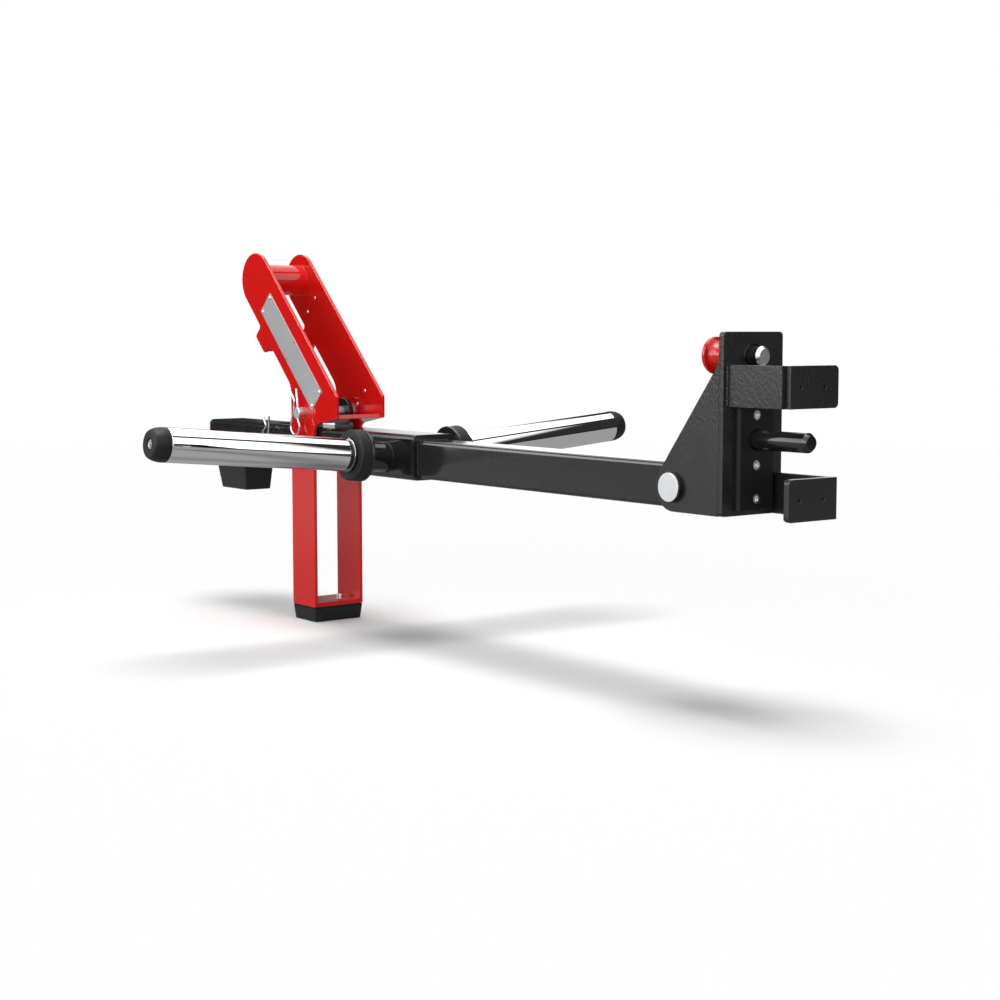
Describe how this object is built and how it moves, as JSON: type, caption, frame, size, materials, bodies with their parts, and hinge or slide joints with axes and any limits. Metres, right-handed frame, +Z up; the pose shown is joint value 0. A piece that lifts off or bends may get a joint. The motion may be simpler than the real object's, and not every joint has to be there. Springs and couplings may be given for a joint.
{
  "type": "lever squat machine",
  "caption": "Squat lever for a rack upright: hook-on carriage with rack pin and sprung locking pin, hinged beam with weight sleeves, swinging stand with carrying handle.",
  "frame": {"origin": "the fixed rack pin's axis at the front face of the carriage's back liner", "axes": "+X into the rack along the rack pin, +Z up, -Y the side of the upper hook's arm"},
  "size_m": [1.3895, 0.8614, 0.5961],
  "materials": {
    "carriage_coat": "textured black powder coat",
    "liner_plastic": "machined black wear plastic",
    "zinc_steel": "bright zinc plate",
    "ground_steel": "turned steel",
    "clip_wire": "bright spring wire",
    "black_gloss": "gloss black powder coat",
    "beam_coat": "satin black powder coat",
    "knob_plastic": "gloss red plastic",
    "bush_bronze": "oiled bearing bronze",
    "cap_plastic": "black plastic end cap",
    "disc_steel": "turned steel",
    "black_rubber": "matte black rubber",
    "sleeve_chrome": "polished chrome",
    "red_coat": "gloss red powder coat",
    "plate_steel": "satin anodised"
  },
  "bodies": {
    "carriage": {"back_plate": "carriage_coat", "gusset_near": "carriage_coat", "gusset_far": "carriage_coat", "upper_hook_arm": "carriage_coat", "upper_hook_lip": "carriage_coat", "lower_hook_arm": "carriage_coat", "lower_hook_lip": "carriage_coat", "back_liner": "liner_plastic", "liner_screws": "zinc_steel", "upper_lip_liner": "liner_plastic", "lower_lip_liner": "liner_plastic", "lip_liner_pins": "liner_plastic", "rack_pin": "black_gloss", "pop_pin_housing": "black_gloss", "pivot_axle": "ground_steel", "pivot_collars": "black_gloss", "pivot_caps": "plate_steel"},
    "pop_pin": {"locking_pin": "black_gloss", "pull_knob": "knob_plastic", "locking_spring": "zinc_steel"},
    "lever": {"main_beam": "beam_coat", "beam_end_cap": "black_gloss", "pivot_hub": "black_gloss", "pivot_bushes": "bush_bronze", "carrier_tube": "black_gloss", "tube_end_plate": "black_gloss", "tube_end_cap": "cap_plastic", "stand_lug_near": "black_gloss", "stand_lug_far": "black_gloss", "horn_bar_near": "black_gloss", "horn_bar_far": "black_gloss", "horn_disc_near": "disc_steel", "horn_disc_far": "disc_steel", "horn_ring_near": "black_rubber", "horn_ring_far": "black_rubber", "sleeve_near": "sleeve_chrome", "sleeve_far": "sleeve_chrome", "sleeve_cap_near": "black_rubber", "sleeve_cap_far": "black_rubber", "cap_screws": "zinc_steel", "bumper": "black_rubber", "bumper_bolts": "zinc_steel", "belt_pin": "ground_steel", "belt_pin_clip": "clip_wire", "stand_pin": "ground_steel", "stand_pin_clip": "clip_wire"},
    "stand": {"stand_plate_near": "red_coat", "stand_plate_far": "red_coat", "handle_tube": "red_coat", "heel_plate": "red_coat", "stop_plate": "red_coat", "foot_plate": "red_coat", "foot_pad": "black_rubber", "foot_screws": "zinc_steel", "nameplate_near": "plate_steel", "nameplate_far": "plate_steel", "nameplate_rivets": "zinc_steel", "stand_bushes": "ground_steel"}
  },
  "joints": [
    {"name": "lever_pivot", "type": "hinge", "parent": "carriage", "child": "lever", "pos_m": [-0.0945, 0, -0.0605], "axis": [0, 1, 0], "range_deg": [0, 60]},
    {"name": "stand_pivot", "type": "hinge", "parent": "lever", "child": "stand", "pos_m": [-0.966, 0, -0.001], "axis": [0, 1, 0], "range_deg": [-45, 10]},
    {"name": "lock_slide", "type": "slide", "parent": "carriage", "child": "pop_pin", "axis": [-1, 0, 0], "range_m": [0, 0.013], "stiffness_N_per_m": 900, "springref_m": -0.013, "deforming": ["locking_spring"]}
  ]
}
